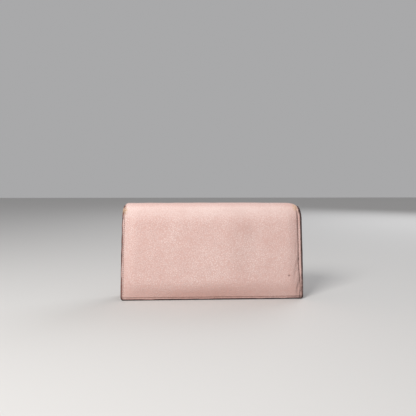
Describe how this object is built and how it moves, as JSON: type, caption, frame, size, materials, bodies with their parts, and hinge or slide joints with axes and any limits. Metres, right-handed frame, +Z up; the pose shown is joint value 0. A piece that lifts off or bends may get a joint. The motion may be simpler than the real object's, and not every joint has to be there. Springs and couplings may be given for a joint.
{
  "type": "long wallet",
  "caption": "Long flap wallet in grained leather, standing on its edge, with a press stud, accordion sides, card slots and a central zip coin pocket.",
  "frame": {"origin": "middle of the wallet's footprint, on the surface it stands on", "axes": "+Z up, X along the wallet's length, the padded back panel faces -Y and the flap faces +Y"},
  "size_m": [0.19, 0.031, 0.1],
  "materials": {
    "cover_leather": "pale rose pebbled grain, satin",
    "lining_leather": "smooth rose leather",
    "gusset_leather": "thin dark burgundy leather",
    "board": "bonded leather fibre board",
    "padding": "soft non-woven wadding",
    "coin_cloth": "beige woven lining",
    "zip_tape": "woven zip tape",
    "gold_metal": "pale gold plated",
    "spring_steel": "bright spring wire"
  },
  "bodies": {
    "back": {"back_cover": "cover_leather", "back_padding": "padding", "back_board": "board", "back_lining": "lining_leather", "card_slot_back_left_1": "lining_leather", "card_slot_back_left_2": "lining_leather", "card_slot_back_left_3": "lining_leather", "card_slot_back_left_4": "lining_leather", "card_slot_back_right_1": "lining_leather", "card_slot_back_right_2": "lining_leather", "card_slot_back_right_3": "lining_leather", "card_slot_back_right_4": "lining_leather", "base_panel": "cover_leather", "base_board": "board", "gusset_left_rear": "gusset_leather", "gusset_right_rear": "gusset_leather"},
    "spine": {"spine_cover": "cover_leather", "spine_lining": "lining_leather"},
    "flap": {"flap_cover": "cover_leather", "flap_board": "board", "flap_lining": "lining_leather", "snap_cap": "gold_metal", "snap_socket": "gold_metal", "snap_spring": "spring_steel"},
    "front_leaf": {"front_cover": "cover_leather", "front_board": "board", "front_lining": "lining_leather", "card_slot_front_left_1": "lining_leather", "card_slot_front_left_2": "lining_leather", "card_slot_front_right_1": "lining_leather", "card_slot_front_right_2": "lining_leather", "snap_stud": "gold_metal", "snap_post": "gold_metal", "gusset_left_front": "gusset_leather", "gusset_right_front": "gusset_leather"},
    "coin_pocket": {"coin_rear_wall": "lining_leather", "coin_front_wall": "lining_leather", "coin_floor": "lining_leather", "coin_side_left": "lining_leather", "coin_side_right": "lining_leather", "coin_lining_rear": "coin_cloth", "coin_lining_front": "coin_cloth", "zip_tape_rear": "zip_tape", "zip_tape_front": "zip_tape", "zip_teeth_rear": "gold_metal", "zip_teeth_front": "gold_metal", "zip_top_stop": "gold_metal", "zip_bottom_stop": "gold_metal"},
    "zip_slider": {"zip_slider": "gold_metal"},
    "zip_pull": {"zip_pull": "gold_metal"}
  },
  "joints": [
    {"name": "spine_fold", "type": "hinge", "parent": "back", "child": "spine", "pos_m": [0, -0.01136, 0.09766], "axis": [1, 0, 0], "range_deg": [0, 90]},
    {"name": "flap_fold", "type": "hinge", "parent": "spine", "child": "flap", "pos_m": [0, 0.01196, 0.09766], "axis": [1, 0, 0], "range_deg": [0, 90]},
    {"name": "front_open", "type": "hinge", "parent": "back", "child": "front_leaf", "pos_m": [0, 0.0104, 0], "axis": [-1, 0, 0], "range_deg": [0, 26], "deforming": ["gusset_left_front", "gusset_right_front"]},
    {"name": "coin_tilt", "type": "hinge", "parent": "back", "child": "coin_pocket", "pos_m": [0, -0.0006, 0.0032], "axis": [-1, 0, 0], "range_deg": [0, 13], "deforming": ["gusset_left_rear", "gusset_right_rear"]},
    {"name": "zip_slide", "type": "slide", "parent": "coin_pocket", "child": "zip_slider", "axis": [-1, 0, 0], "range_m": [0, 0.15], "deforming": ["zip_teeth_rear", "zip_teeth_front"]},
    {"name": "pull_swing", "type": "hinge", "parent": "zip_slider", "child": "zip_pull", "pos_m": [0.076, -0.0006, 0.07795], "axis": [0, -1, 0], "range_deg": [0, 180]}
  ],
  "couplings": [
    {"joint": "spine_fold", "follows": "flap_fold", "ratio": 1},
    {"joint": "front_open", "follows": "flap_fold", "ratio": 0.2778},
    {"joint": "coin_tilt", "follows": "flap_fold", "ratio": 0.1389}
  ]
}
